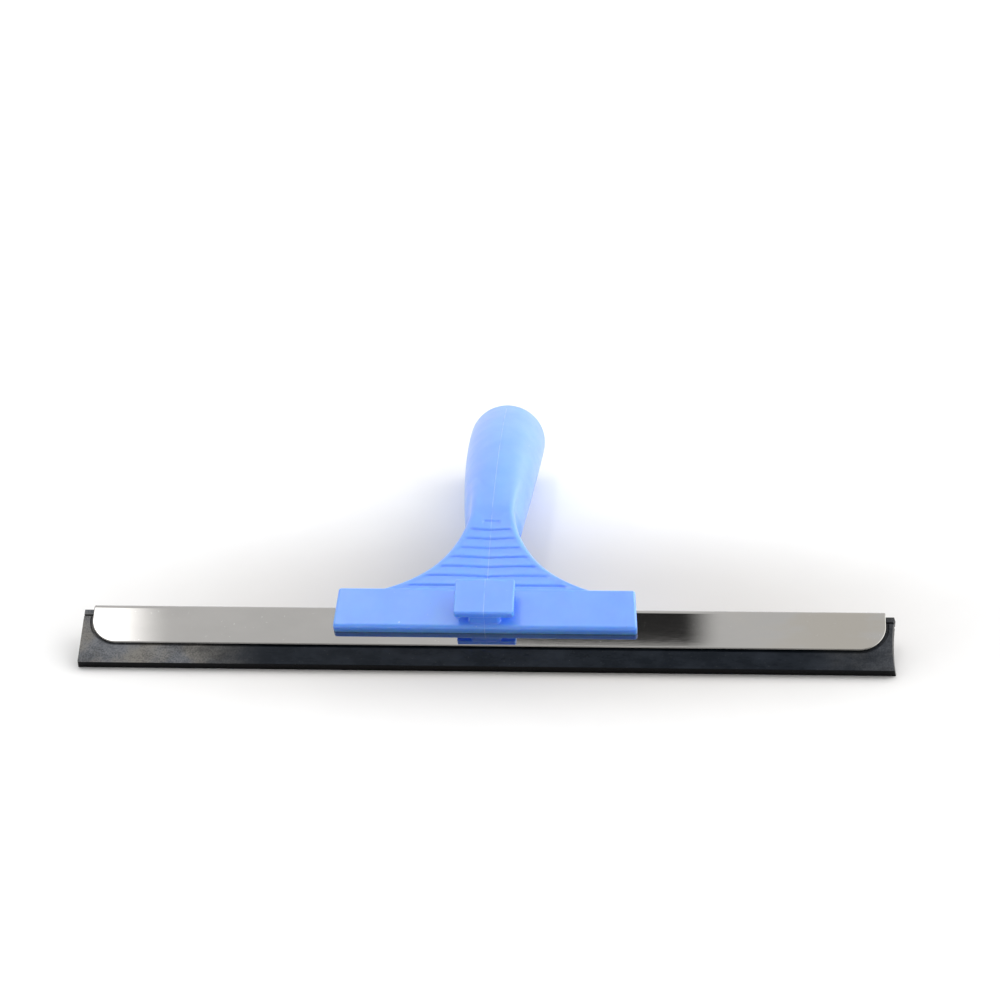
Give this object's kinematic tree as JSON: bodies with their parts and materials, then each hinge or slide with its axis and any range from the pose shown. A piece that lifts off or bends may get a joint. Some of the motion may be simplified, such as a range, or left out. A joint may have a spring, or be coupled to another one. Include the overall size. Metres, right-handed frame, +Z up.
{
  "type": "window squeegee",
  "caption": "Hand squeegee with a one-piece moulded plastic handle, a folded steel channel held in its crossbar and a replaceable rubber blade.",
  "frame": {"origin": "on the table under the middle of the squeegee's overall box, as it lies on its back on the rubber lip and the rim of the grip", "axes": "+X along the blade, +Y from the blade towards the end of the grip, +Z up from the table; the hook side of the crossbar faces up and forward"},
  "size_m": [0.35, 0.1824, 0.0425],
  "materials": {
    "handle": "light blue injection-moulded plastic, satin with a soft sheen",
    "steel": "bright rolled stainless sheet, faintly brushed along its length",
    "rubber": "black moulded rubber, dusty matt faces and cut ends",
    "screws": "zinc-plated pan-head screws"
  },
  "bodies": {
    "handle": {"handle": "handle", "clamp_screws": "screws"},
    "channel": {"steel_channel": "steel"},
    "blade": {"rubber_blade": "rubber"}
  },
  "joints": [
    {"name": "channel_slide", "type": "slide", "parent": "handle", "child": "channel", "axis": [1, 0, 0], "range_m": [0, 0.24]},
    {"name": "rubber_slide", "type": "slide", "parent": "channel", "child": "blade", "axis": [1, 0, 0], "range_m": [0, 0.35]}
  ]
}
